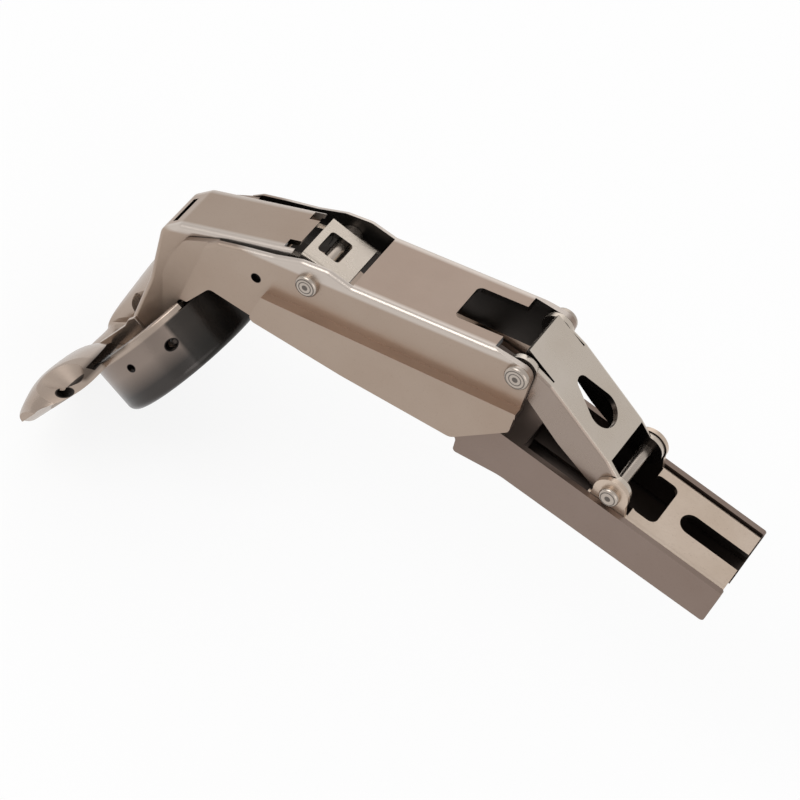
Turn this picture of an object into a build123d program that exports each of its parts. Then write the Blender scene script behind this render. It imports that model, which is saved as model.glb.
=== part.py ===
from build123d import *
from math import cos, radians, sin
import os

# Concealed cup hinge with a seven-pivot linkage, modelled fully open. Millimetres.
# The side view is X and Z: X runs to the arm's rear end, which is the origin, and Z
# points away from the cabinet side. Every pivot runs along Y, and the part is the
# same on both sides of Y = 0.

os.makedirs("parts", exist_ok=True)

# Sheets and gaps
lever_sheet = 1.2
insert_sheet = 1.0
cup_sheet = 0.8
wing_sheet = 1.3
slide_gap = 0.2
nest_gap = 0.1
skirt_gap = 0.3
pin_play = 0.05

# Half widths, nested from the arm inwards
arm_half = 9.8
hook_joggle = 1.0
link_clearance = 0.5
washer_room = 1.7
insert_half = arm_half - lever_sheet - nest_gap
rear_link_half = insert_half - insert_sheet - nest_gap
outer_lever_half = rear_link_half + link_clearance + lever_sheet
hook_half = outer_lever_half - hook_joggle
front_link_half = hook_half - slide_gap - lever_sheet
inner_lever_half = outer_lever_half - lever_sheet - washer_room
inner_nose_half = front_link_half - lever_sheet - slide_gap
skirt_half = arm_half + skirt_gap + lever_sheet

# Pivots in the side view (x, z)
arm_pivot = (-27.5, 2.6)
rear_pivot = (-53.8, 14.8)
scissor_pivot = (-96.6, 1.1)
front_pivot = (-105.8, -2.4)
nose_pivot = (-64.9, -3.9)
lever_pin_radius = 1.25
cup_pin_radius = 1.0
rivet_head = 1.2

# Cup, placed by the middle of its rim and the angle it has opened by
cup_middle = (-121.75, -40.62)
opening_angle = 160.08
cup_radius = 17.5
cup_depth = 11.6
cup_tilt = radians(180 - opening_angle)
outer_pin_place = (-11.2, -4.3)
inner_pin_place = (-2.0, -3.2)

post_half = inner_nose_half - 0.4
lever_gate = outer_lever_half + 0.4
lip_gap = 1.8
link_gate = front_link_half + 0.4
nose_pin_half = arm_half - 2.1
outer_pin_half = 12.9

# Arm
arm_height = 9.3
arm_length = 57.0
slot_width = 4.8
slot_start = 14.5

# Wings
hole_spacing = 48.0
hole_offset = 6.0
wing_hole_radius = 2.4
dimple_rise = 5.0
dimple_spread = 3.6


def in_cup(across, above):
    """Side-view point from the cup's own axes: towards the door, and out of the mouth."""
    x = cup_middle[0] - across * sin(cup_tilt) - above * cos(cup_tilt)
    z = cup_middle[1] - across * cos(cup_tilt) + above * sin(cup_tilt)
    return (x, z)


cup_outer_pivot = in_cup(*outer_pin_place)
cup_inner_pivot = in_cup(*inner_pin_place)
cup_plane = Plane(
    origin=(cup_middle[0], 0, cup_middle[1]),
    x_dir=(-sin(cup_tilt), 0, -cos(cup_tilt)),
    z_dir=(-cos(cup_tilt), 0, sin(cup_tilt)),
)


def by(point, dx, dz, radius=0.0):
    """Outline corner: an offset from a side-view point, with the corner's radius."""
    return (point[0] + dx, point[1] + dz, radius)


def outline(*corners):
    """Side-view face from (x, z, corner radius) corners."""
    points = [(x, z) for x, z, radius in corners]
    radii = [radius for x, z, radius in corners]
    return make_face(FilletPolyline(*points, radius=radii, close=True).edges())


def disc(point, radius):
    return Pos(point[0], point[1]) * Circle(radius)


def slab(face, y_from, y_to):
    """A side-view face as a plate that fills the stretch of Y."""
    side = Plane(origin=(0, y_to, 0), x_dir=(1, 0, 0), z_dir=(0, -1, 0))
    return extrude(side * face, amount=y_to - y_from)


def pair(face, inner, outer):
    """The same plate on both sides."""
    plate = slab(face, inner, outer)
    return plate + mirror(plate, Plane.XZ)


def round_bar(point, radius, half_length):
    return Pos(point[0], 0, point[1]) * Rot(90, 0, 0) * Cylinder(radius, 2 * half_length)


def plain_pin(point, radius, half_length, bevel):
    pin = round_bar(point, radius, half_length)
    return chamfer(pin.edges().filter_by(GeomType.CIRCLE), bevel)


def headed_pin(point, radius, outside, head):
    """A rivet whose heads sit on the outer faces that it clamps."""
    pin = round_bar(point, radius, outside)
    for side in (-1, 1):
        middle = side * (outside + rivet_head / 2)
        cap = Pos(point[0], middle, point[1]) * Rot(90, 0, 0) * Cylinder(head, rivet_head)
        outer_rim = cap.edges().filter_by(GeomType.CIRCLE).sort_by(Axis.Y)
        pin += fillet(outer_rim[-1 if side > 0 else 0], rivet_head * 0.6)
    return pin


def strip(start, end, thickness):
    """Side-view band below the line from start to end."""
    length = ((end[0] - start[0]) ** 2 + (end[1] - start[1]) ** 2) ** 0.5
    down = ((end[1] - start[1]) / length * thickness, -(end[0] - start[0]) / length * thickness)
    return make_face(
        Polyline(
            start,
            end,
            (end[0] + down[0], end[1] + down[1]),
            (start[0] + down[0], start[1] + down[1]),
            close=True,
        ).edges()
    )


def round_folds(plate, crest, half, radius):
    """Round the outer edges where a folded web meets its cheeks."""
    corners = [(x, z) for x, z, r in crest]
    radii = [r for x, z, r in crest[1:-1]]
    path = FilletPolyline(*corners, radius=radii) if radii else Polyline(*corners)
    chosen = []
    for y in (-half, half):
        side = Plane(origin=(0, y, 0), x_dir=(1, 0, 0), z_dir=(0, -1, 0)) * path
        for edge in plate.edges():
            gaps = [side.distance_to(edge @ share) for share in (0.1, 0.5, 0.9)]
            if max(gaps) < 0.02:
                chosen.append(edge)
    return fillet(chosen, radius)


def on_line(start, end, x):
    share = (x - start[0]) / (end[0] - start[0])
    return (x, start[1] + share * (end[1] - start[1]))


def arm_channel():
    """Folded cheeks with the low front lugs and the nose that carries the inner lever."""
    nose_radius = lever_pin_radius + 2.2
    cheek = outline(
        (0, 0, 0.6),
        (0, -arm_height, 0.8),
        (-arm_length + 10, -arm_height - 0.6, 12),
        (-arm_length, -12.0, 0.8),
        (-arm_length - 0.6, -8.6, 1.0),
        (nose_pivot[0], nose_pivot[1] - nose_radius + 0.2, 0.5),
        (nose_pivot[0], nose_pivot[1] + nose_radius - 0.2, 0.5),
        by(nose_pivot, 3.9, -nose_pivot[1], 1.0),
    )
    cheek += disc(nose_pivot, nose_radius)
    cheek -= disc(nose_pivot, lever_pin_radius)
    arm = pair(cheek, arm_half - lever_sheet, arm_half)
    bridge = outline(
        (-46.0, 0, 0),
        (-46.0, -lever_sheet, 0),
        (-56.5, -lever_sheet, 0),
        (-56.5, 0, 0),
    )
    arm += slab(bridge, -arm_half + lever_sheet / 2, arm_half - lever_sheet / 2)
    # lips turned in along the lower edges
    lip = outline(
        (0, -arm_height, 0),
        (0, -arm_height + lever_sheet, 0),
        (-46.0, -arm_height - 0.56 + lever_sheet, 0),
        (-46.0, -arm_height - 0.56, 0),
    )
    return arm + pair(lip, lip_gap, arm_half - lever_sheet / 2)


def arm_insert():
    """Nested slotted plate with the ears that carry the rear link."""
    top = -0.2
    front = -31.5
    ear_radius = lever_pin_radius + 2.4
    body = outline(
        (-0.3, top, 0),
        (-0.3, -arm_height + lever_sheet + slide_gap, 0),
        (front, -arm_height + lever_sheet + slide_gap, 0),
        (front, top, 0),
    )
    insert = slab(body, -insert_half, insert_half)
    folds = insert.edges().filter_by(Axis.X).group_by(Axis.Z)[-1]
    insert = fillet(folds, insert_sheet * 1.2)
    hollow = outline(
        (1.0, top - insert_sheet, 0),
        (1.0, -arm_height - 1.0, 0),
        (front - 1.0, -arm_height - 1.0, 0),
        (front - 1.0, top - insert_sheet, 0),
    )
    insert -= slab(hollow, -insert_half + insert_sheet, insert_half - insert_sheet)
    # clearance for the rear link's knuckles, then the smaller window behind it
    knuckle_well = Pos((front - 1.0 - 22.8) / 2, 0, 0) * Box(
        abs(front - 1.0 + 22.8), 2 * rear_link_half + 2 * nest_gap, 6
    )
    window = Pos(-20.6, 0, 0) * Box(5.6, 11.0, 6)
    window = fillet(window.edges().filter_by(Axis.Z), 1.6)
    insert -= knuckle_well
    insert -= window
    slot = Pos(-slot_start / 2 + slot_width / 4, 0, 0) * Box(
        slot_start - slot_width / 2 + 2.0, slot_width, 6
    )
    slot = Pos(1.0, 0, 0) * slot
    slot += Pos(-slot_start + slot_width / 2, 0, 0) * Cylinder(slot_width / 2, 6)
    insert -= slot
    ear = outline(
        by(arm_pivot, -ear_radius + 0.2, -4.5),
        by(arm_pivot, -ear_radius + 0.2, 0),
        by(arm_pivot, ear_radius - 0.2, 0),
        by(arm_pivot, ear_radius + 1.2, -4.0, 1.0),
        by(arm_pivot, ear_radius + 1.2, -4.5),
    )
    ear += disc(arm_pivot, ear_radius)
    insert += pair(ear, insert_half - insert_sheet, insert_half)
    insert -= round_bar(arm_pivot, lever_pin_radius, arm_half)
    return insert


def rear_link():
    """Short channel with the teardrop window and the tongue over the rear pin."""
    web_from = (-47.6, 15.9)
    web_to = (-31.2, 8.2)
    low_radius = lever_pin_radius + 2.1
    high_radius = lever_pin_radius + 1.9
    cheek = outline(
        by(rear_pivot, -0.6, high_radius - 0.15),
        (web_from[0], web_from[1], 1.2),
        (web_to[0], web_to[1], 2.5),
        by(arm_pivot, low_radius - 0.1, 0.6),
        by(arm_pivot, -0.6, -low_radius + 0.1),
        (-41.0, 4.4, 8.0),
        by(rear_pivot, -1.4, -high_radius + 0.4),
    )
    cheek += disc(rear_pivot, high_radius)
    cheek += disc(arm_pivot, low_radius)
    link = slab(cheek, -rear_link_half, rear_link_half)
    folds = [
        edge
        for edge in link.edges().filter_by(GeomType.LINE)
        if abs(abs(edge.center().Y) - rear_link_half) < 0.01
        and edge.center().Z > on_line(web_from, web_to, edge.center().X)[1] - 0.2
        and web_from[0] < edge.center().X < web_to[0]
    ]
    link = fillet(folds, lever_sheet)
    inside = outline(
        (web_from[0] - 12.0, web_from[1] + 5.0 - lever_sheet, 0),
        (web_from[0], web_from[1] - lever_sheet * 1.1, 0),
        (web_to[0], web_to[1] - lever_sheet * 1.1, 0),
        (web_to[0] + 12.0, web_to[1] - 7.0, 0),
        (web_to[0] + 12.0, web_to[1] - 25.0, 0),
        (web_from[0] - 12.0, web_from[1] - 25.0, 0),
    )
    link -= slab(inside, -rear_link_half + lever_sheet, rear_link_half - lever_sheet)
    open_ends = outline(
        (web_from[0] - 12.0, web_from[1] - 8.0, 0),
        (web_from[0] - 12.0, web_from[1] + 12.0, 0),
        (web_from[0] - 0.2, web_from[1] + 6.0, 0),
        (web_from[0] - 0.2, web_from[1] - 8.0, 0),
    )
    low_end = outline(
        (web_to[0] + 0.2, web_to[1] + 4.0, 0),
        (web_to[0] + 12.0, web_to[1] + 4.0, 0),
        (web_to[0] + 12.0, web_to[1] - 16.0, 0),
        (web_to[0] + 0.2, web_to[1] - 16.0, 0),
    )
    between = rear_link_half - lever_sheet
    link -= slab(open_ends, -between, between)
    link -= slab(low_end, -between, between)
    # tongue that reaches over the rear pin between the cheeks
    tongue_half = rear_link_half - lever_sheet - 0.4
    tongue_end = (-54.8, 18.9)
    tongue = slab(strip(tongue_end, (web_from[0] + 1.0, web_from[1] - 0.45), lever_sheet), -tongue_half, tongue_half)
    link += tongue
    # teardrop window, square to the web
    slope = Plane(
        origin=((web_from[0] + web_to[0]) / 2, 0, (web_from[1] + web_to[1]) / 2),
        x_dir=(web_to[0] - web_from[0], 0, web_to[1] - web_from[1]),
        z_dir=(web_from[1] - web_to[1], 0, web_to[0] - web_from[0]),
    )
    teardrop = Pos(1.6, 0) * Circle(3.7) + Pos(-4.6, 0) * Circle(1.6)
    teardrop = make_hull(teardrop.edges())
    link -= extrude(slope * teardrop, amount=4, both=True)
    link -= round_bar(rear_pivot, lever_pin_radius + pin_play, arm_half)
    link -= round_bar(arm_pivot, lever_pin_radius + pin_play, arm_half)
    return link


def outer_lever():
    """Large channel: web with the open window, hooked legs and the stepped-out skirts."""
    web_from = by(scissor_pivot, 7.5, 5.9)[:2]
    web_to = by(rear_pivot, -6.6, 1.9)[:2]
    ledge_from = (-103.0, -7.4)
    ledge_to = by(rear_pivot, 3.6, -6.6)[:2]
    upper = outline(
        (web_from[0], web_from[1], 0.6),
        (web_to[0], web_to[1], 4.0),
        by(rear_pivot, 2.3, 2.9, 2.4),
        (ledge_to[0], ledge_to[1] - lever_sheet, 0),
        (ledge_from[0], ledge_from[1] - lever_sheet, 0),
        (-103.0, -15.8, 1.0),
        (-113.2, -16.7, 1.5),
        (-116.0, -23.7, 0.5),
        (-117.6, -24.1, 0),
        (-117.6, -6.9, 0),
        (-115.9, -4.9, 2.0),
        (-111.0, -2.0, 8.0),
        (-105.0, 1.3, 6.0),
        (-99.7, 4.9, 3.0),
        (-94.5, 6.9, 2.5),
    )
    outer = outer_lever_half
    upper_plates = pair(upper, outer - lever_sheet, outer)
    web = strip(web_from, web_to, lever_sheet)
    lever = upper_plates + slab(web, -outer, outer)
    lever = round_folds(lever, [web_from + (0,), web_to + (0,)], outer, lever_sheet * 0.8)
    window = Pos(-60.0, 0, 14) * Box(20.6, 9.8, 12)
    lever -= fillet(window.edges().filter_by(Axis.Z), 1.2)
    # hooked legs, stepped inwards to pass into the mouth of the cup
    leg = outline(
        (-116.0, -5.5, 0),
        (-122.0, -10.6, 3.0),
        (-123.1, -16.0, 3.0),
        (-123.1, -21.8, 3.0),
        (-120.5, -29.1, 6.0),
        (-118.8, -33.2, 2.0),
        by(cup_outer_pivot, -0.9, -1.9, 0.6),
        by(cup_outer_pivot, 1.0, 1.7, 0.3),
        (-118.5, -26.4, 1.0),
        (-115.9, -23.7, 0),
        (-116.0, -17.0, 0),
    )
    leg += disc(cup_outer_pivot, cup_pin_radius + 0.95)
    lever += pair(leg, hook_half - lever_sheet, hook_half)
    # ledge and skirts that pass outside the arm
    ledge = strip(ledge_from, ledge_to, lever_sheet)
    lever += pair(ledge, outer - lever_sheet, skirt_half)
    skirt = outline(
        (ledge_from[0], ledge_from[1], 0),
        (-103.4, -14.6, 1.2),
        (-82.3, -11.9, 30.0),
        (-58.5, -7.7, 2.5),
        (-49.6, 3.2, 1.5),
        (ledge_to[0], ledge_to[1], 0),
    )
    lever += pair(skirt, skirt_half - lever_sheet, skirt_half)
    lever -= round_bar(rear_pivot, lever_pin_radius, skirt_half + 1)
    lever -= round_bar(scissor_pivot, lever_pin_radius, skirt_half + 1)
    lever -= round_bar(cup_outer_pivot, cup_pin_radius + pin_play, skirt_half + 1)
    for side in (-1, 1):
        mark = Pos(front_pivot[0] - 0.2, side * outer, front_pivot[1] - 3.7) * Rot(90, 0, 0)
        lever -= mark * Cylinder(1.0, 1.6)
    return lever


def inner_lever():
    """Lever from the arm's nose, past the scissor pin, to the front link."""
    half = inner_lever_half
    plate_top = by(scissor_pivot, 0, 2.9)[1]
    plate_left = scissor_pivot[0] - 4.4
    plate_right = scissor_pivot[0] + 6.0
    tail_slot = Pos(nose_pivot[0] - 0.7, nose_pivot[1] - 0.1) * Rot(0, 0, 90) * SlotCenterToCenter(4.7, 4.4)
    tail_pad = Pos(nose_pivot[0] - 0.7, nose_pivot[1] - 0.1) * Rot(0, 0, 90) * SlotCenterToCenter(4.7, 6.4)
    cheek = outline(
        (plate_left, plate_top, 0),
        (plate_right, plate_top, 0),
        (plate_right + 5.0, scissor_pivot[1] + 1.0, 5.0),
        by(nose_pivot, -6.0, 3.4, 6.0),
        by(nose_pivot, -0.7, 5.2),
        by(nose_pivot, -0.7, -5.2),
        by(nose_pivot, -6.0, -2.6, 6.0),
        by(scissor_pivot, 3.0, -3.4, 4.0),
        by(scissor_pivot, -3.6, -3.2, 2.0),
        (plate_left, scissor_pivot[1] - 1.0, 0.5),
    )
    cheek += tail_pad
    cheek -= tail_slot
    lever = pair(cheek, half - lever_sheet, half)
    plate = outline(
        (plate_left, plate_top, 0),
        (plate_right, plate_top, 0),
        (plate_right, plate_top - lever_sheet, 0),
        (plate_left, plate_top - lever_sheet, 0),
    )
    lever += slab(plate, -half, half)
    plate_line = [(plate_left, plate_top, 0), (plate_right, plate_top, 0)]
    lever = round_folds(lever, plate_line, half, lever_sheet * 0.6)
    window = Pos(scissor_pivot[0] - 0.4, 0, plate_top) * Box(5.0, 6.0, 4)
    lever -= fillet(window.edges().filter_by(Axis.Z), 0.8)
    # the nose ears step inwards to sit inside the front link
    ear_radius = lever_pin_radius + 0.95
    nose = outline(
        by(front_pivot, 0, ear_radius - 0.05),
        by(front_pivot, 4.6, 4.2, 1.0),
        (scissor_pivot[0] - 2.6, plate_top - 0.3, 0),
        (scissor_pivot[0] - 2.6, scissor_pivot[1] - 2.6, 0),
        by(front_pivot, 4.0, -2.0, 1.0),
        by(front_pivot, 0, -ear_radius + 0.05),
    )
    nose += disc(front_pivot, ear_radius)
    lever += pair(nose, inner_nose_half - lever_sheet, inner_nose_half)
    lever -= round_bar(scissor_pivot, lever_pin_radius + pin_play, half + 1)
    lever -= round_bar(front_pivot, lever_pin_radius + pin_play, half + 1)
    return lever


def front_link():
    """Cranked channel from the inner lever, over the door's edge, into the cup."""
    half = front_link_half
    crest_end = in_cup(0.4, 3.4)
    crest = [
        (-102.6, 3.65, 0),
        (-124.6, -9.8, 2.0),
        (-127.6, -14.0, 2.6),
        (-125.4, -27.5, 10.0),
        (crest_end[0], crest_end[1], 0),
    ]
    inner = [
        (-102.6, 2.25, 0),
        (-123.8, -10.7, 0.8),
        (-126.3, -14.3, 1.4),
        (-124.2, -27.4, 8.8),
        (crest_end[0] + 1.2, crest_end[1] + 0.35, 0),
    ]
    cheek = outline(
        *crest,
        by(cup_inner_pivot, -2.0, -2.6, 0.6),
        by(cup_inner_pivot, 2.4, 1.6, 1.0),
        (-119.3, -27.0, 10.0),
        (-120.4, -17.5, 4.0),
        (-117.6, -12.0, 4.0),
        by(front_pivot, -1.6, -2.0, 0.5),
        by(front_pivot, 2.0, 1.0, 0.3),
    )
    cheek += disc(front_pivot, lever_pin_radius + 1.15)
    eye_place = Pos(cup_inner_pivot[0], cup_inner_pivot[1] - 0.45) * Rot(0, 0, 32)
    cheek += eye_place * SlotCenterToCenter(3.6, 4.9)
    link = pair(cheek, half - lever_sheet, half)
    link += slab(outline(*crest, *reversed(inner)), -half, half)
    link = round_folds(link, crest, half, lever_sheet * 0.9)
    link -= slab(eye_place * SlotCenterToCenter(3.9, 2 * cup_pin_radius + 0.8), -half - 1, half + 1)
    link -= round_bar(front_pivot, lever_pin_radius, half + 1)
    # notches beside the tongue at the top of the web, and the relief across the elbow
    for side in (-1, 1):
        link -= Pos(-102.4, side * 4.7, 3.5) * Box(4.6, 2.4, 6)
    link -= Pos(-126.2, -0.35, -12.0) * Rot(0, -54.5, 0) * Box(1.3, 7.7, 6.0)
    return link


def cup():
    """Pot pressed from sheet, with the saddle and the two domed wings."""
    inner_radius = cup_radius - cup_sheet
    profile = outline(
        (0, -cup_depth, 0),
        (cup_radius, -cup_depth, 1.6),
        (cup_radius, 0, 0),
        (cup_radius + 1.2, 0, 0),
        (cup_radius + 1.2, wing_sheet, 0.5),
        (inner_radius, wing_sheet, 0),
        (inner_radius, -cup_depth + cup_sheet, 0.9),
        (0, -cup_depth + cup_sheet, 0),
    )
    body = revolve(Plane.XZ * profile, Axis.Z)
    # the folded levers drop through the rim on both sides of the mouth
    body -= Pos(-16.0, 0, 4.7) * Box(12.0, 2 * lever_gate, 10.2)
    body -= Pos(17.0, 0, 3.9) * Box(8.0, 2 * link_gate, 12.2)
    # place along the width, foot towards the door's edge, far foot, underside, crest
    stations = [
        (0.0, 18.9, 26.0, 0.0, 2.0),
        (6.8, 18.9, 26.0, 0.0, 2.0),
        (12.0, 1.8, 23.5, 0.0, 4.9),
        (16.5, 1.4, 22.0, 0.0, 5.6),
        (22.0, 1.8, 20.5, 0.0, 6.1),
        (26.0, 2.6, 19.0, 0.2, 5.9),
        (30.0, 5.8, 17.0, 1.3, 5.1),
        (34.0, 9.0, 13.6, 2.7, 4.2),
    ]
    both = [(-w, *rest) for w, *rest in reversed(stations[1:])] + stations
    wings = loft([wing_section(*station) for station in both])
    for side in (-1, 1):
        place = Pos(hole_offset, side * hole_spacing / 2, 0)
        wings -= place * Cylinder(wing_hole_radius, 20)
        dimple = Cone(wing_hole_radius, wing_hole_radius + dimple_spread, dimple_rise)
        wings -= place * Pos(0, 0, 1.4 + dimple_rise / 2) * dimple
        # relief slot along the foot and the small hole near the tip
        wings -= Pos(2.5, side * 15.4, 1.7) * Box(7.0, 10.6, 1.3)
        wings -= Pos(4.0, side * 28.0, 1.9) * Rot(0, 90, 0) * Cylinder(1.1, 7.0)
    mouth = Cylinder(inner_radius + 0.5, 4 * cup_depth)
    wings -= mouth & Box(4 * cup_radius, 2 * lever_gate, 4 * cup_depth)
    link_path = extrude(
        Plane.XZ * make_face(Polyline((16.0, -1.1), (30.0, 6.0), (30.0, 12), (16.0, 12), close=True).edges()),
        amount=link_gate,
        both=True,
    )
    wings -= link_path
    body = cup_plane * (body + wings)
    body -= round_bar(cup_outer_pivot, cup_pin_radius, cup_radius)
    body -= round_bar(cup_inner_pivot, 0.8, cup_radius + 1)
    return body


def wing_section(along, near_foot, far_foot, underside, crest):
    """Cross-section of the wings, steeper on the far side."""
    control = underside + (crest - underside) / 0.75
    lean = near_foot + 0.4 * (far_foot - near_foot)
    arch = Bezier((near_foot, underside), (lean, control), (far_foot, control), (far_foot, underside))
    base = Line((far_foot, underside), (near_foot, underside))
    plane = Plane(origin=(0, along, 0), x_dir=(1, 0, 0), z_dir=(0, -1, 0))
    return plane * make_face((arch + base).edges())


def pin_post():
    """Block on the cup's floor that carries the inner cup pin between the front link's cheeks."""
    floor = -cup_depth + cup_sheet
    across = inner_pin_place[0]
    profile = make_face(
        Polyline(
            in_cup(across - 2.6, floor),
            in_cup(across - 1.9, inner_pin_place[1]),
            in_cup(across + 1.9, inner_pin_place[1]),
            in_cup(across + 2.6, floor),
            close=True,
        ).edges()
    )
    profile += disc(cup_inner_pivot, 1.9)
    post = slab(profile, -post_half, post_half)
    return post - round_bar(cup_inner_pivot, cup_pin_radius, post_half + 1)


def washer(side):
    """Spacer between the inner and outer levers on the scissor pin."""
    inner = inner_lever_half + nest_gap
    outer = outer_lever_half - lever_sheet - nest_gap
    ring = disc(scissor_pivot, lever_pin_radius + 1.1) - disc(scissor_pivot, lever_pin_radius + pin_play)
    if side < 0:
        return slab(ring, -outer, -inner)
    return slab(ring, inner, outer)


def bush():
    """Sleeve on the scissor pin between the inner lever's cheeks."""
    half = inner_lever_half - lever_sheet - nest_gap
    ring = disc(scissor_pivot, lever_pin_radius + 0.35) - disc(scissor_pivot, lever_pin_radius + pin_play)
    return slab(ring, -half, half)


pieces = {
    "arm_channel": arm_channel(),
    "arm_insert": arm_insert(),
    "rear_link": rear_link(),
    "outer_lever": outer_lever(),
    "inner_lever": inner_lever(),
    "front_link": front_link(),
    "cup": cup(),
    "pin_post": pin_post(),
    "rear_link_pin": headed_pin(arm_pivot, lever_pin_radius, insert_half, 2.1),
    "rear_lever_pin": headed_pin(rear_pivot, lever_pin_radius, outer_lever_half, 2.6),
    "scissor_pin": headed_pin(scissor_pivot, lever_pin_radius, outer_lever_half, 2.4),
    "scissor_bush": bush(),
    "scissor_washer_near": washer(-1),
    "scissor_washer_far": washer(1),
    "nose_pin": plain_pin(nose_pivot, lever_pin_radius, nose_pin_half, 0.3),
    "front_link_pin": plain_pin(front_pivot, lever_pin_radius, front_link_half + 0.7, 0.3),
    "cup_outer_pin": plain_pin(cup_outer_pivot, cup_pin_radius, outer_pin_half, 0.6),
    "cup_inner_pin": plain_pin(cup_inner_pivot, cup_pin_radius, front_link_half, 0.3),
}

for name, piece in pieces.items():
    export_step(piece, f"parts/{name}.step")
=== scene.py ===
import bpy
from math import radians
from mathutils import Euler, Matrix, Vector


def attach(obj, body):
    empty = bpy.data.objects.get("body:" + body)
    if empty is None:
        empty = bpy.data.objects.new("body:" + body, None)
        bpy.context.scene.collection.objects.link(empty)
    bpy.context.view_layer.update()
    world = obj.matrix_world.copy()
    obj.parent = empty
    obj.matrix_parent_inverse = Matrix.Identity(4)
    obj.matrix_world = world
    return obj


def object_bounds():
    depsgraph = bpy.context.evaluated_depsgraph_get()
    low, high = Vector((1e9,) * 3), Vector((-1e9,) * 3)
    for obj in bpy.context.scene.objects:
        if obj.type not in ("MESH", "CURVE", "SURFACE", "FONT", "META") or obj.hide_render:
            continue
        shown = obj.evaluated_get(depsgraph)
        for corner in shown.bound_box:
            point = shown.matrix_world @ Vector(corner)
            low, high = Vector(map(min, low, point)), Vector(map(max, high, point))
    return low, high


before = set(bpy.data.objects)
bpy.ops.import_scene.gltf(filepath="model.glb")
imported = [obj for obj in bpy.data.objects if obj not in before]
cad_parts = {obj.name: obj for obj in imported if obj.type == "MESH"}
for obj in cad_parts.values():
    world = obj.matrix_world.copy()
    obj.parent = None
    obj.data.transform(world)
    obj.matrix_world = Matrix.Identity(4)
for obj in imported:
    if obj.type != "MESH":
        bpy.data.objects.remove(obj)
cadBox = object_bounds()
scene = bpy.context.scene
mm = 0.001
print("stage: frame loaded,", len(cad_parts), "nodes")

# how far each painted edge fades: metres, or for the two turns the size of a normal's part
softEdges = {
    "inside": 0.00008, "insideTurn": (0.2, 0.45), "insideFloor": 0.0003, "mark": 0.00012,
    "foldDepth": (-0.0019, -0.0013), "foldWidth": (-0.0019, -0.0012), "spot": 0.0001, "facing": 0.06,
}
plateDetail = {
    "cloudDetail": 4, "poreScale": 2600, "poreDetail": 2,
    "cloudRange": (0.35, 0.68), "poreRange": (0.62, 0.8), "poreColor": (0.35, 0.3, 0.26, 1),
}
grainDetail = {
    "lineScale": 420, "lineDetail": 5, "lineShare": 0.5,
    "scuffScale": 140, "scuffDetail": 6, "scuffRoughness": 0.7, "scuffMiddle": 0.5,
}
bumpStrength = 0.8


def socketIn(group, name, kind, value):
    socket = group.interface.new_socket(name=name, in_out="INPUT", socket_type=kind)
    socket.default_value = value


def socketOut(group, name, kind):
    group.interface.new_socket(name=name, in_out="OUTPUT", socket_type=kind)


def link(tree, fromNode, fromName, toNode, toName):
    tree.links.new(fromNode.outputs[fromName], toNode.inputs[toName])


def buildPlateTone():
    # slow drift between two plating tones, with darker specks in the pores
    group = bpy.data.node_groups.new("plateTone", "ShaderNodeTree")
    socketIn(group, "Vector", "NodeSocketVector", (0, 0, 0))
    socketIn(group, "Tone", "NodeSocketColor", (0.5, 0.5, 0.5, 1))
    socketIn(group, "Warm Tone", "NodeSocketColor", (0.5, 0.4, 0.3, 1))
    socketIn(group, "Drift", "NodeSocketFloat", 0.4)
    socketIn(group, "Drift Scale", "NodeSocketFloat", 60.0)
    socketIn(group, "Speck", "NodeSocketFloat", 0.1)
    socketOut(group, "Color", "NodeSocketColor")
    nodes = group.nodes
    inlet, outlet = nodes.new("NodeGroupInput"), nodes.new("NodeGroupOutput")
    cloud, speck = nodes.new("ShaderNodeTexNoise"), nodes.new("ShaderNodeTexNoise")
    cloud.inputs["Detail"].default_value = plateDetail["cloudDetail"]
    speck.inputs["Scale"].default_value = plateDetail["poreScale"]
    speck.inputs["Detail"].default_value = plateDetail["poreDetail"]
    spread = ramp(nodes, *plateDetail["cloudRange"], 0.0, 1.0)
    pores = ramp(nodes, *plateDetail["poreRange"], 0.0, 1.0)
    amount, poreAmount = nodes.new("ShaderNodeMath"), nodes.new("ShaderNodeMath")
    amount.operation = poreAmount.operation = "MULTIPLY"
    tones, darken = nodes.new("ShaderNodeMix"), nodes.new("ShaderNodeMix")
    tones.data_type = darken.data_type = "RGBA"
    darken.blend_type = "MULTIPLY"
    darken.inputs[7].default_value = plateDetail["poreColor"]
    link(group, inlet, "Vector", cloud, "Vector")
    link(group, inlet, "Vector", speck, "Vector")
    link(group, inlet, "Drift Scale", cloud, "Scale")
    link(group, cloud, "Fac", spread, "Value")
    link(group, speck, "Fac", pores, "Value")
    group.links.new(spread.outputs["Result"], amount.inputs[0])
    link(group, inlet, "Drift", amount, 1)
    group.links.new(pores.outputs["Result"], poreAmount.inputs[0])
    link(group, inlet, "Speck", poreAmount, 1)
    group.links.new(amount.outputs[0], tones.inputs[0])
    group.links.new(inlet.outputs["Tone"], tones.inputs[6])
    group.links.new(inlet.outputs["Warm Tone"], tones.inputs[7])
    group.links.new(poreAmount.outputs[0], darken.inputs[0])
    group.links.new(tones.outputs[2], darken.inputs[6])
    group.links.new(darken.outputs[2], outlet.inputs["Color"])
    return group


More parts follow.
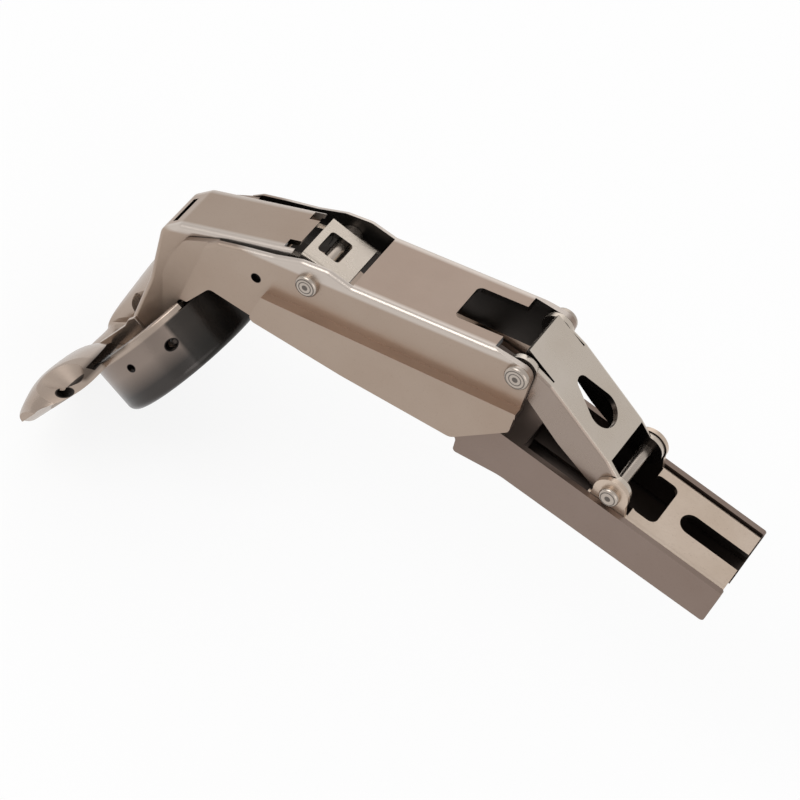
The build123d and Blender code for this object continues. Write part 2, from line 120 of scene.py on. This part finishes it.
def buildRolledGrain():
    # rolling lines and handling scuffs: a roughness value and a height
    group = bpy.data.node_groups.new("rolledGrain", "ShaderNodeTree")
    socketIn(group, "Vector", "NodeSocketVector", (0, 0, 0))
    socketIn(group, "Stretch", "NodeSocketVector", (1, 1, 12))
    socketIn(group, "Base Roughness", "NodeSocketFloat", 0.3)
    socketIn(group, "Roughness Spread", "NodeSocketFloat", 0.12)
    socketOut(group, "Roughness", "NodeSocketFloat")
    socketOut(group, "Height", "NodeSocketFloat")
    nodes = group.nodes
    inlet, outlet = nodes.new("NodeGroupInput"), nodes.new("NodeGroupOutput")
    stretch = nodes.new("ShaderNodeVectorMath")
    stretch.operation = "MULTIPLY"
    lines, scuffs = nodes.new("ShaderNodeTexNoise"), nodes.new("ShaderNodeTexNoise")
    lines.inputs["Scale"].default_value = grainDetail["lineScale"]
    lines.inputs["Detail"].default_value = grainDetail["lineDetail"]
    scuffs.inputs["Scale"].default_value = grainDetail["scuffScale"]
    scuffs.inputs["Detail"].default_value = grainDetail["scuffDetail"]
    scuffs.inputs["Roughness"].default_value = grainDetail["scuffRoughness"]
    centred, scaled, total = (nodes.new("ShaderNodeMath") for _ in range(3))
    centred.operation, scaled.operation, total.operation = "SUBTRACT", "MULTIPLY", "ADD"
    centred.inputs[1].default_value = grainDetail["scuffMiddle"]
    blend = nodes.new("ShaderNodeMath")
    blend.operation = "MULTIPLY_ADD"
    blend.inputs[1].default_value = grainDetail["lineShare"]
    link(group, inlet, "Vector", stretch, 0)
    link(group, inlet, "Stretch", stretch, 1)
    link(group, stretch, "Vector", lines, "Vector")
    link(group, inlet, "Vector", scuffs, "Vector")
    group.links.new(scuffs.outputs["Fac"], centred.inputs[0])
    group.links.new(centred.outputs[0], scaled.inputs[0])
    link(group, inlet, "Roughness Spread", scaled, 1)
    group.links.new(scaled.outputs[0], total.inputs[0])
    link(group, inlet, "Base Roughness", total, 1)
    group.links.new(lines.outputs["Fac"], blend.inputs[0])
    group.links.new(scuffs.outputs["Fac"], blend.inputs[2])
    group.links.new(total.outputs[0], outlet.inputs["Roughness"])
    group.links.new(blend.outputs[0], outlet.inputs["Height"])
    return group


def ramp(nodes, start, end, high=1.0, low=0.0):
    # goes from high at start to low at end, and stays there
    node = nodes.new("ShaderNodeMapRange")
    node.inputs["From Min"].default_value = start
    node.inputs["From Max"].default_value = end
    node.inputs["To Min"].default_value = high
    node.inputs["To Max"].default_value = low
    return node


def times(group, first, second):
    node = group.nodes.new("ShaderNodeMath")
    node.operation = "MULTIPLY"
    group.links.new(first, node.inputs[0])
    group.links.new(second, node.inputs[1])
    return node.outputs[0]


def buildInsideShade():
    # painted shade inside a folded channel: between the cheeks, unless the face looks outwards
    group = bpy.data.node_groups.new("insideShade", "ShaderNodeTree")
    socketIn(group, "Vector", "NodeSocketVector", (0, 0, 0))
    socketIn(group, "Normal", "NodeSocketVector", (0, 0, 1))
    socketIn(group, "Outward", "NodeSocketVector", (-0.5, 0, 0.85))
    socketIn(group, "Half Width", "NodeSocketFloat", 0.007)
    socketIn(group, "Floor Level", "NodeSocketFloat", -1.0)
    socketOut(group, "Mask", "NodeSocketFloat")
    nodes = group.nodes
    inlet, outlet = nodes.new("NodeGroupInput"), nodes.new("NodeGroupOutput")
    split = nodes.new("ShaderNodeSeparateXYZ")
    width, past = nodes.new("ShaderNodeMath"), nodes.new("ShaderNodeMath")
    width.operation, past.operation = "ABSOLUTE", "SUBTRACT"
    between = ramp(nodes, 0.0, softEdges["inside"])
    facing = nodes.new("ShaderNodeVectorMath")
    facing.operation = "DOT_PRODUCT"
    turned = ramp(nodes, *softEdges["insideTurn"])
    above = nodes.new("ShaderNodeMath")
    above.operation = "SUBTRACT"
    low = ramp(nodes, 0.0, softEdges["insideFloor"])
    either = nodes.new("ShaderNodeMath")
    either.operation = "MAXIMUM"
    link(group, inlet, "Vector", split, "Vector")
    link(group, split, "Y", width, 0)
    link(group, width, 0, past, 0)
    link(group, inlet, "Half Width", past, 1)
    link(group, past, 0, between, "Value")
    link(group, inlet, "Normal", facing, 0)
    link(group, inlet, "Outward", facing, 1)
    link(group, facing, "Value", turned, "Value")
    link(group, split, "Z", above, 0)
    link(group, inlet, "Floor Level", above, 1)
    link(group, above, 0, low, "Value")
    link(group, turned, "Result", either, 0)
    link(group, low, "Result", either, 1)
    mask = times(group, between.outputs["Result"], either.outputs[0])
    group.links.new(mask, outlet.inputs["Mask"])
    return group


def buildRoundMark():
    # a disc round an axis along the width
    group = bpy.data.node_groups.new("roundMark", "ShaderNodeTree")
    socketIn(group, "Vector", "NodeSocketVector", (0, 0, 0))
    socketIn(group, "Middle", "NodeSocketVector", (0, 0, 0))
    socketIn(group, "Radius", "NodeSocketFloat", 0.001)
    socketOut(group, "Mask", "NodeSocketFloat")
    nodes = group.nodes
    inlet, outlet = nodes.new("NodeGroupInput"), nodes.new("NodeGroupOutput")
    flat, reach = nodes.new("ShaderNodeVectorMath"), nodes.new("ShaderNodeVectorMath")
    past = nodes.new("ShaderNodeMath")
    flat.operation, reach.operation, past.operation = "MULTIPLY", "DISTANCE", "SUBTRACT"
    flat.inputs[1].default_value = (1, 0, 1)
    edge = ramp(nodes, 0.0, softEdges["mark"])
    link(group, inlet, "Vector", flat, 0)
    link(group, flat, "Vector", reach, 0)
    link(group, inlet, "Middle", reach, 1)
    link(group, reach, "Value", past, 0)
    link(group, inlet, "Radius", past, 1)
    link(group, past, 0, edge, "Value")
    link(group, edge, "Result", outlet, "Mask")
    return group


def buildFoldHighlight():
    # painted highlight along a fold: close under a plane and out towards the cheeks
    group = bpy.data.node_groups.new("foldHighlight", "ShaderNodeTree")
    socketIn(group, "Vector", "NodeSocketVector", (0, 0, 0))
    socketIn(group, "Point", "NodeSocketVector", (0, 0, 0))
    socketIn(group, "Up", "NodeSocketVector", (0, 0, 1))
    socketIn(group, "Half Width", "NodeSocketFloat", 0.009)
    socketOut(group, "Mask", "NodeSocketFloat")
    nodes = group.nodes
    inlet, outlet = nodes.new("NodeGroupInput"), nodes.new("NodeGroupOutput")
    offset, depth = nodes.new("ShaderNodeVectorMath"), nodes.new("ShaderNodeVectorMath")
    offset.operation, depth.operation = "SUBTRACT", "DOT_PRODUCT"
    near = ramp(nodes, *softEdges["foldDepth"], 0.0, 1.0)
    split = nodes.new("ShaderNodeSeparateXYZ")
    width, past = nodes.new("ShaderNodeMath"), nodes.new("ShaderNodeMath")
    width.operation, past.operation = "ABSOLUTE", "SUBTRACT"
    outside = ramp(nodes, *softEdges["foldWidth"], 0.0, 1.0)
    link(group, inlet, "Vector", offset, 0)
    link(group, inlet, "Point", offset, 1)
    link(group, offset, "Vector", depth, 0)
    link(group, inlet, "Up", depth, 1)
    link(group, depth, "Value", near, "Value")
    link(group, inlet, "Vector", split, "Vector")
    link(group, split, "Y", width, 0)
    link(group, width, 0, past, 0)
    link(group, inlet, "Half Width", past, 1)
    link(group, past, 0, outside, "Value")
    mask = times(group, near.outputs["Result"], outside.outputs["Result"])
    group.links.new(mask, outlet.inputs["Mask"])
    return group


plateTone, rolledGrain = buildPlateTone(), buildRolledGrain()
insideShade, roundMark, foldHighlight = buildInsideShade(), buildRoundMark(), buildFoldHighlight()

finishes = {
    "leverNickel": dict(
        tone=(0.40, 0.315, 0.255), warm=(0.345, 0.255, 0.195), drift=0.5, driftScale=45, speck=0.15,
        rough=0.34, spread=0.14, stretch=(2, 14, 2), relief=0.00003, metallic=0.9,
    ),
    "armNickel": dict(
        tone=(0.25, 0.19, 0.16), warm=(0.21, 0.15, 0.12), drift=0.5, driftScale=45, speck=0.15,
        rough=0.34, spread=0.14, stretch=(2, 14, 2), relief=0.00003, metallic=0.9,
    ),
    "linkNickel": dict(
        tone=(0.62, 0.55, 0.48), warm=(0.52, 0.44, 0.36), drift=0.5, driftScale=70, speck=0.15,
        rough=0.27, spread=0.12, stretch=(2, 14, 2), relief=0.00003, metallic=0.92,
    ),
    "cupNickel": dict(
        tone=(0.42, 0.345, 0.29), warm=(0.36, 0.275, 0.22), drift=0.5, driftScale=55, speck=0.1,
        rough=0.25, spread=0.1, stretch=(3, 3, 3), relief=0.00004, metallic=0.95,
    ),
    "insertZinc": dict(
        tone=(0.61, 0.50, 0.41), warm=(0.51, 0.40, 0.31), drift=0.6, driftScale=90, speck=0.3,
        rough=0.33, spread=0.16, stretch=(4, 4, 4), relief=0.00006, metallic=0.9,
    ),
    "pinSteel": dict(
        tone=(0.46, 0.40, 0.35), warm=(0.38, 0.31, 0.25), drift=0.4, driftScale=120, speck=0.1,
        rough=0.26, spread=0.1, stretch=(6, 1, 6), relief=0.00002, metallic=0.95,
    ),
}
finishes["shadedPin"] = dict(
    finishes["pinSteel"], tone=(0.06, 0.05, 0.045), warm=(0.05, 0.04, 0.03), rough=0.5,
)
# painted shade: the near-black laid into holes, hollows, grooves, rivet rings and the inside of
# channels
shadeTone = (0.016, 0.014, 0.013)
# painted highlight: the light tone laid along the folds
highlightTone = (0.62, 0.56, 0.51)
# painted shade: the darker tone given to faces by which way they look
shadedFaceTone = (0.24, 0.18, 0.15)
# the cup's own axes: the middle of its mouth, and the turn that puts its axis along Z
cupFrame = {"middle": (-0.12175, 0, -0.04062), "turn": (0, radians(109.92), 0)}
# painted on the cup, mostly painted shade and a painted reflection, in its own axes: X towards the
# wings, Y along them, Z down into the pot
cupPaint = {
    "wall": dict(span=(0.0001, 0.0005), tone=(0.17, 0.135, 0.12), strength=0.65),
    "deep": dict(span=(0.0040, 0.0084), tone=(0.045, 0.043, 0.042), strength=0.92),
    "back": dict(span=(-0.0126, -0.0120), tone=(0.03, 0.028, 0.026), strength=0.9),
    "pot": dict(middle=(0, 0, 0), radius=0.01674, strength=0.85),
    "screwHole": dict(middle=(0.006, 0.024, 0), radius=0.0026, strength=0.9),
    "dimple": dict(middle=(0.006, 0.024, 0), radius=0.0066, dull=0.3),
    "foot": dict(
        along=(0.0090, 0.0242, 0.0006), across=(-0.006, 0.0052, 0.0010),
        down=(-0.0030, -0.0008, 0.0004), tone=(0.075, 0.055, 0.042), strength=0.85,
    ),
    "slot": dict(
        along=(0.0101, 0.0207, 0.00005), across=(-0.001, 0.00605, 0.00005),
        down=(-0.0024, -0.001, 0.00005), tone=shadeTone, strength=0.8,
    ),
    "sideHole": dict(middle=(0.028, -0.0019, 0), radius=0.00125, end=(0.0076, 0.0078), strength=0.95),
    "wallHoles": [
        {"middle": (-0.0112, 0, 0.0043), "radius": 0.00115},
        {"middle": (-0.0020, 0, 0.0032), "radius": 0.0009},
    ],
}


def paintOver(tree, below, mask, color, strength=1.0):
    # lays one colour over another where the mask is white
    layer = tree.nodes.new("ShaderNodeMix")
    layer.data_type = "RGBA"
    layer.inputs[7].default_value = (*color, 1)
    amount = tree.nodes.new("ShaderNodeMath")
    amount.operation = "MULTIPLY"
    amount.inputs[1].default_value = strength
    tree.links.new(mask, amount.inputs[0])
    tree.links.new(amount.outputs[0], layer.inputs[0])
    tree.links.new(below, layer.inputs[6])
    return layer.outputs[2]


def groupNode(tree, kind, **values):
    node = tree.nodes.new("ShaderNodeGroup")
    node.node_tree = kind
    for name, value in values.items():
        node.inputs[name.replace("_", " ")].default_value = value
    return node


def makeFinish(
    name, look, inside=None, insideDepth=0.96, fold=None, marks=(), rings=None, facingShade=(),
    cupShade=False,
):
    material = bpy.data.materials.new(name)
    material.use_nodes = True
    tree = material.node_tree
    shader = tree.nodes["Principled BSDF"]
    place = tree.nodes.new("ShaderNodeTexCoord")
    tone = groupNode(
        tree, plateTone, Tone=(*look["tone"], 1), Warm_Tone=(*look["warm"], 1),
        Drift=look["drift"], Drift_Scale=look["driftScale"], Speck=look["speck"],
    )
    grain = groupNode(
        tree, rolledGrain, Stretch=look["stretch"],
        Base_Roughness=look["rough"], Roughness_Spread=look["spread"],
    )
    bump = tree.nodes.new("ShaderNodeBump")
    bump.inputs["Distance"].default_value = look["relief"]
    bump.inputs["Strength"].default_value = bumpStrength
    link(tree, place, "Object", tone, "Vector")
    link(tree, place, "Object", grain, "Vector")
    color = tone.outputs["Color"]
    if facingShade:
        # painted shade by which way a face looks: faces that look sideways, or those between them,
        # get a darker tone
        side, sideways = tree.nodes.new("ShaderNodeSeparateXYZ"), tree.nodes.new("ShaderNodeMath")
        sideways.operation = "ABSOLUTE"
        link(tree, place, "Normal", side, "Vector")
        link(tree, side, "Y", sideways, 0)
        for low, high, tint, strength in facingShade:
            part = zone(tree, [(sideways.outputs[0], low, high, softEdges["facing"])])
            color = paintOver(tree, color, part, tint, strength)
    # painted highlight along the fold between the web and the cheeks
    if fold:
        band = groupNode(
            tree, foldHighlight, Point=fold["point"], Up=fold["up"], Half_Width=fold["half"],
        )
        link(tree, place, "Object", band, "Vector")
        color = paintOver(tree, color, band.outputs["Mask"], highlightTone, fold["strength"])
    if rings:
        color = paintRingShade(tree, place, color, rings)
    if cupShade:
        axes = cupAxes(tree, place)
        color = paintCup(tree, axes, color)
    # painted shade in blind holes: a near-black disc round each mark's axis
    for spot in marks:
        mark = groupNode(tree, roundMark, Middle=spot["middle"], Radius=spot["radius"])
        link(tree, place, "Object", mark, "Vector")
        color = paintOver(tree, color, mark.outputs["Mask"], shadeTone)
    # painted shade inside the folded channels, strongest below the floor level
    if inside:
        dark = groupNode(tree, insideShade, **inside)
        link(tree, place, "Object", dark, "Vector")
        link(tree, place, "Normal", dark, "Normal")
        color = paintOver(tree, color, dark.outputs["Mask"], shadeTone, insideDepth)
    tree.links.new(color, shader.inputs["Base Color"])
    if cupShade:
        # the polish is duller in the pressed hollow round each screw hole
        calm = tree.nodes.new("ShaderNodeMath")
        calm.operation = "MULTIPLY_ADD"
        calm.inputs[1].default_value = cupPaint["dimple"]["dull"]
        tree.links.new(aroundPoint(tree, axes["flat"], cupPaint["dimple"]), calm.inputs[0])
        link(tree, grain, "Roughness", calm, 2)
        link(tree, calm, 0, shader, "Roughness")
    else:
        link(tree, grain, "Roughness", shader, "Roughness")
    link(tree, grain, "Height", bump, "Height")
    link(tree, bump, "Normal", shader, "Normal")
    shader.inputs["Metallic"].default_value = look["metallic"]
    return material


def paintRingShade(tree, place, color, rings):
    # painted shade in the turned rings and the punched middle of a peened rivet
    for radius, width in rings["bands"]:
        outer = groupNode(tree, roundMark, Middle=rings["middle"], Radius=radius + width / 2)
        inner = groupNode(tree, roundMark, Middle=rings["middle"], Radius=radius - width / 2)
        band = tree.nodes.new("ShaderNodeMath")
        band.operation = "SUBTRACT"
        link(tree, place, "Object", outer, "Vector")
        link(tree, place, "Object", inner, "Vector")
        link(tree, outer, "Mask", band, 0)
        link(tree, inner, "Mask", band, 1)
        color = paintOver(tree, color, band.outputs[0], shadeTone, rings["strength"])
    return color


def cupAxes(tree, place):
    # places read in the cup's own axes, with both wings folded onto one side
    turned, split = tree.nodes.new("ShaderNodeMapping"), tree.nodes.new("ShaderNodeSeparateXYZ")
    turned.vector_type = "TEXTURE"
    turned.inputs["Location"].default_value = cupFrame["middle"]
    turned.inputs["Rotation"].default_value = cupFrame["turn"]
    width, flat = tree.nodes.new("ShaderNodeMath"), tree.nodes.new("ShaderNodeCombineXYZ")
    width.operation = "ABSOLUTE"
    link(tree, place, "Object", turned, "Vector")
    link(tree, turned, "Vector", split, "Vector")
    link(tree, split, "Y", width, 0)
    link(tree, split, "X", flat, "X")
    link(tree, width, 0, flat, "Y")
    return {"turned": turned, "split": split, "width": width, "flat": flat}


def paintCup(tree, axes, color):
    split, width, flat = axes["split"], axes["width"], axes["flat"]
    # the wall is browner; painted shade darkens it towards the floor, and a painted dark reflection
    # makes it nearly black away from the wings
    wall, deep, back = cupPaint["wall"], cupPaint["deep"], cupPaint["back"]
    under = ramp(tree.nodes, *wall["span"], 0.0, 1.0)
    lowShade = ramp(tree.nodes, *deep["span"], 0.0, 1.0)
    away = ramp(tree.nodes, *back["span"])
    link(tree, split, "Z", under, "Value")
    link(tree, split, "Z", lowShade, "Value")
    link(tree, split, "X", away, "Value")
    black = times(tree, under.outputs["Result"], away.outputs["Result"])
    color = paintOver(tree, color, under.outputs["Result"], wall["tone"], wall["strength"])
    color = paintOver(tree, color, lowShade.outputs["Result"], deep["tone"], deep["strength"])
    color = paintOver(tree, color, black, back["tone"], back["strength"])
    # painted shade in the pin holes through the wall
    for hole in cupPaint["wallHoles"]:
        mark = groupNode(tree, roundMark, Middle=hole["middle"], Radius=hole["radius"])
        link(tree, axes["turned"], "Vector", mark, "Vector")
        color = paintOver(tree, color, mark.outputs["Mask"], shadeTone)
    # painted shade inside the pot, in the screw holes, along the foot of the wings and in the slots
    # there
    inPot = times(tree, under.outputs["Result"], aroundPoint(tree, flat, cupPaint["pot"]))
    color = paintOver(tree, color, inPot, shadeTone, cupPaint["pot"]["strength"])
    inScrewHole = aroundPoint(tree, flat, cupPaint["screwHole"])
    color = paintOver(tree, color, inScrewHole, shadeTone, cupPaint["screwHole"]["strength"])
    for part in (cupPaint["foot"], cupPaint["slot"]):
        mask = zone(tree, [
            (width.outputs[0], *part["along"]), (split.outputs["X"], *part["across"]),
            (split.outputs["Z"], *part["down"]),
        ])
        color = paintOver(tree, color, mask, part["tone"], part["strength"])
    # painted shade in the small blind holes near the tips, on the side towards the levers
    hole = cupPaint["sideHole"]
    sideways, front = tree.nodes.new("ShaderNodeCombineXYZ"), ramp(tree.nodes, *hole["end"])
    link(tree, width, 0, sideways, "X")
    link(tree, split, "Z", sideways, "Y")
    link(tree, split, "X", front, "Value")
    inSideHole = times(tree, aroundPoint(tree, sideways, hole), front.outputs["Result"])
    return paintOver(tree, color, inSideHole, shadeTone, hole["strength"])


def aroundPoint(tree, flat, spot):
    # white within the spot's radius of its middle
    reach = tree.nodes.new("ShaderNodeVectorMath")
    reach.operation = "DISTANCE"
    reach.inputs[1].default_value = spot["middle"]
    inside = ramp(tree.nodes, spot["radius"], spot["radius"] + softEdges["spot"])
    link(tree, flat, "Vector", reach, 0)
    link(tree, reach, "Value", inside, "Value")
    return inside.outputs["Result"]


def zone(tree, spans):
    # white where every value lies between its start and end, with soft ends
    total = None
    for source, start, end, soft in spans:
        low = ramp(tree.nodes, start - soft, start + soft, 0.0, 1.0)
        high = ramp(tree.nodes, end - soft, end + soft)
        tree.links.new(source, low.inputs["Value"])
        tree.links.new(source, high.inputs["Value"])
        step = times(tree, low.outputs["Result"], high.outputs["Result"])
        total = step if total is None else times(tree, total, step)
    return total


rivetLook = {"ringWidth": 0.00022, "punch": 0.0011, "strength": 0.75}


def rivet(x, z, *radii):
    bands = [(radius, rivetLook["ringWidth"]) for radius in radii] + [(0.0, rivetLook["punch"])]
    return {"middle": (x, 0, z), "bands": bands, "strength": rivetLook["strength"]}


nodeLooks = {
    "cup_outer_pin": dict(finish="shadedPin"),
    "cup_inner_pin": dict(finish="shadedPin"),
    "arm_channel": dict(
        finish="armNickel", inside=dict(Half_Width=0.00862, Floor_Level=-0.0078), insideDepth=0.7,
    ),
    "arm_insert": dict(finish="insertZinc", inside=dict(Half_Width=0.00752, Floor_Level=-0.00125)),
    "rear_link": dict(
        finish="linkNickel", inside=dict(Half_Width=0.00625), facingShade=[(0.6, 1.2, shadedFaceTone, 0.8)],
    ),
    "outer_lever": dict(
        finish="leverNickel", inside=dict(Half_Width=0.00795),
        facingShade=[(-0.2, 0.33, shadedFaceTone, 0.5)],
        fold=dict(point=(-0.0891, 0, 0.0070), up=(-0.320, 0, 0.947), half=0.0091, strength=0.75),
        # painted shade in the blind hole through the cheeks
        marks=[dict(middle=(-0.1060, 0, -0.0061), radius=0.00105)],
    ),
    "inner_lever": dict(finish="linkNickel", inside=dict(Half_Width=0.00505)),
    "front_link": dict(
        finish="leverNickel", inside=dict(Half_Width=0.00555, Outward=(-0.7, 0, 0.7)),
        fold=dict(point=(-0.1026, 0, 0.00365), up=(-0.522, 0, 0.853), half=0.0067, strength=0.75),
    ),
    "cup": dict(finish="cupNickel", cupShade=True),
    "pin_post": dict(finish="insertZinc"),
    "rear_link_pin": dict(finish="pinSteel", rings=rivet(-0.0275, 0.0026, 0.0014)),
    "rear_lever_pin": dict(finish="pinSteel", rings=rivet(-0.0538, 0.0148, 0.0012, 0.0019)),
    "scissor_pin": dict(finish="pinSteel", rings=rivet(-0.0966, 0.0011, 0.0012, 0.0018)),
}
for name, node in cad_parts.items():
    look = dict(nodeLooks.get(name, {"finish": "pinSteel"}))
    finish = look.pop("finish")
    node.data.materials.clear()
    node.data.materials.append(makeFinish(finish + "_" + name, finishes[finish], **look))
print("stage: finishes on the frame")

mouthCheek = {
    # (towards the door, above the mouth) of each corner, in millimetres
    "outline": [(-4.4, 0.1), (9.0, 0.1), (9.0, 3.2), (-0.6, 3.3), (-2.4, 3.9), (-4.4, 3.6)],
    "inner": 9.6, "sheet": 0.8, "edge": 0.12, "rounds": 2,
}


def cupPoint(across, along, above):
    # from the cup's own axes, in millimetres, to the frame
    turn = Euler(cupFrame["turn"]).to_matrix()
    return Vector(cupFrame["middle"]) + turn @ Vector((across * mm, along * mm, -above * mm))


def makeMouthCheek(name, side):
    # a folded wall that closes the inner end of a wing, beside the levers
    outline = mouthCheek["outline"]
    bpy.ops.object.select_all(action="DESELECT")
    bpy.ops.mesh.primitive_circle_add(vertices=len(outline), radius=mm, fill_type="NGON")
    cheek = bpy.context.object
    cheek.name = name
    for corner, (across, above) in zip(cheek.data.vertices, outline):
        corner.co = cupPoint(across, side * mouthCheek["inner"], above)
    bpy.ops.object.mode_set(mode="EDIT")
    bpy.ops.mesh.select_all(action="SELECT")
    outward = (0, side * mouthCheek["sheet"] * mm, 0)
    bpy.ops.mesh.extrude_region_move(TRANSFORM_OT_translate={"value": outward})
    bpy.ops.mesh.select_all(action="SELECT")
    bpy.ops.mesh.normals_make_consistent(inside=False)
    bpy.ops.object.mode_set(mode="OBJECT")
    soften = cheek.modifiers.new("edge", "BEVEL")
    soften.width, soften.segments = mouthCheek["edge"] * mm, mouthCheek["rounds"]
    bpy.ops.object.modifier_apply(modifier=soften.name)
    cheek.data.materials.clear()
    cheek.data.materials.append(makeFinish("cupNickel_" + name, finishes["cupNickel"]))
    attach(cheek, "door_cup")


for name, side in (("mouth_cheek_near", -1), ("mouth_cheek_far", 1)):
    makeMouthCheek(name, side)
print("stage: cheeks at the cup's mouth")

channelShadeStrip = {
    "seam": dict(start=-0.0460, end=-0.0006, half=0.0020),
    "front": dict(start=-0.0530, end=-0.0459, half=0.00855),
    "top": -0.00865, "thick": 0.0007, "fall": 0.0123, "edge": 0.00015, "rounds": 2,
    "smooth": radians(40),
}


def makeShadeStrip(name, size):
    # thin dark strip between the arm's lips, falling with them towards the front: a sheet that stands
    # in for the shade inside the channel
    length, middle = size["end"] - size["start"], (size["end"] + size["start"]) / 2
    bpy.ops.object.select_all(action="DESELECT")
    height = channelShadeStrip["top"] - channelShadeStrip["thick"] / 2
    bpy.ops.mesh.primitive_cube_add(size=1, location=(middle, 0, height))
    strip = bpy.context.object
    strip.name = name
    bpy.ops.object.mode_set(mode="EDIT")
    bpy.ops.mesh.select_all(action="SELECT")
    bpy.ops.transform.resize(value=(length, 2 * size["half"], channelShadeStrip["thick"]))
    bpy.ops.mesh.bevel(offset=channelShadeStrip["edge"], segments=channelShadeStrip["rounds"])
    bpy.ops.mesh.normals_make_consistent(inside=False)
    bpy.ops.object.mode_set(mode="OBJECT")
    bpy.ops.object.transform_apply(location=True, rotation=True, scale=True)
    for corner in strip.data.vertices:
        corner.co.z += channelShadeStrip["fall"] * corner.co.x
    bpy.ops.object.shade_smooth_by_angle(angle=channelShadeStrip["smooth"])
    # the arm channel's finish gives the strip its painted shade
    strip.data.materials.append(bpy.data.materials["armNickel_arm_channel"])
    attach(strip, "arm")


for part in ("seam", "front"):
    makeShadeStrip("channel_" + part + "_strip", channelShadeStrip[part])
print("stage: strips between the arm's lips")

view = {
    "place": (-0.002088, -0.504019, 0.557708),
    "turn": (37.2532, -19.4224, 31.4879),
    "lens": 180.0,
    "sensor": 36.0,
}
cameraData = bpy.data.cameras.new("camera")
cameraData.lens = view["lens"]
cameraData.sensor_width = view["sensor"]
camera = bpy.data.objects.new("camera", cameraData)
camera.location = view["place"]
camera.rotation_euler = [radians(angle) for angle in view["turn"]]
scene.collection.objects.link(camera)
scene.camera = camera

floorLook = {
    "size": 6.0, "middle": (-0.06, 0, 0), "drop": 0.0005,
    "color": (0.93, 0.93, 0.93), "rough": 0.9, "glow": 1.0, "glowShare": 0.85,
}
bpy.ops.mesh.primitive_plane_add(size=floorLook["size"], location=floorLook["middle"])
floor = bpy.context.object
floor.name = "floor"
for corner in floor.data.vertices:
    corner.co.z = cadBox[0][2] - floorLook["drop"]


def makeBackdrop():
    # a pale floor that keeps the shadow and that the camera and the gloss see as nearly white
    material = bpy.data.materials.new("studioFloor")
    material.use_nodes = True
    tree = material.node_tree
    shader, output = tree.nodes["Principled BSDF"], tree.nodes["Material Output"]
    shader.inputs["Base Color"].default_value = (*floorLook["color"], 1)
    shader.inputs["Roughness"].default_value = floorLook["rough"]
    plain, rays = tree.nodes.new("ShaderNodeEmission"), tree.nodes.new("ShaderNodeLightPath")
    either, mix = tree.nodes.new("ShaderNodeMath"), tree.nodes.new("ShaderNodeMixShader")
    plain.inputs["Strength"].default_value = floorLook["glow"]
    either.operation = "MAXIMUM"
    link(tree, rays, "Is Camera Ray", either, 0)
    link(tree, rays, "Is Glossy Ray", either, 1)
    share = tree.nodes.new("ShaderNodeMath")
    share.operation = "MULTIPLY"
    share.inputs[1].default_value = floorLook["glowShare"]
    tree.links.new(either.outputs[0], share.inputs[0])
    tree.links.new(share.outputs[0], mix.inputs[0])
    tree.links.new(shader.outputs[0], mix.inputs[1])
    tree.links.new(plain.outputs[0], mix.inputs[2])
    tree.links.new(mix.outputs[0], output.inputs["Surface"])
    return material


floor.data.materials.append(makeBackdrop())

studio = {"color": (1, 1, 1, 1), "strength": 0.75}
world = bpy.data.worlds.new("studio")
world.use_nodes = True
background = world.node_tree.nodes["Background"]
background.inputs["Color"].default_value = studio["color"]
background.inputs["Strength"].default_value = studio["strength"]
scene.world = world

lamps = {
    "keyLamp": dict(place=(-0.9, -0.7, 1.1), size=0.9, power=7.0),
    "fillLamp": dict(place=(0.9, -0.9, 0.5), size=1.0, power=3.0),
    "backLamp": dict(place=(-0.5, 0.9, 0.5), size=0.8, power=1.35),
}
aim = Vector((-0.06, 0, -0.01))
for name, lamp in lamps.items():
    data = bpy.data.lights.new(name, "AREA")
    data.size = lamp["size"]
    data.energy = lamp["power"]
    lampObject = bpy.data.objects.new(name, data)
    lampObject.location = lamp["place"]
    towards = aim - Vector(lamp["place"])
    lampObject.rotation_euler = towards.to_track_quat("-Z", "Y").to_euler()
    scene.collection.objects.link(lampObject)

scene.view_settings.view_transform = "Standard"
print("stage: camera and light")
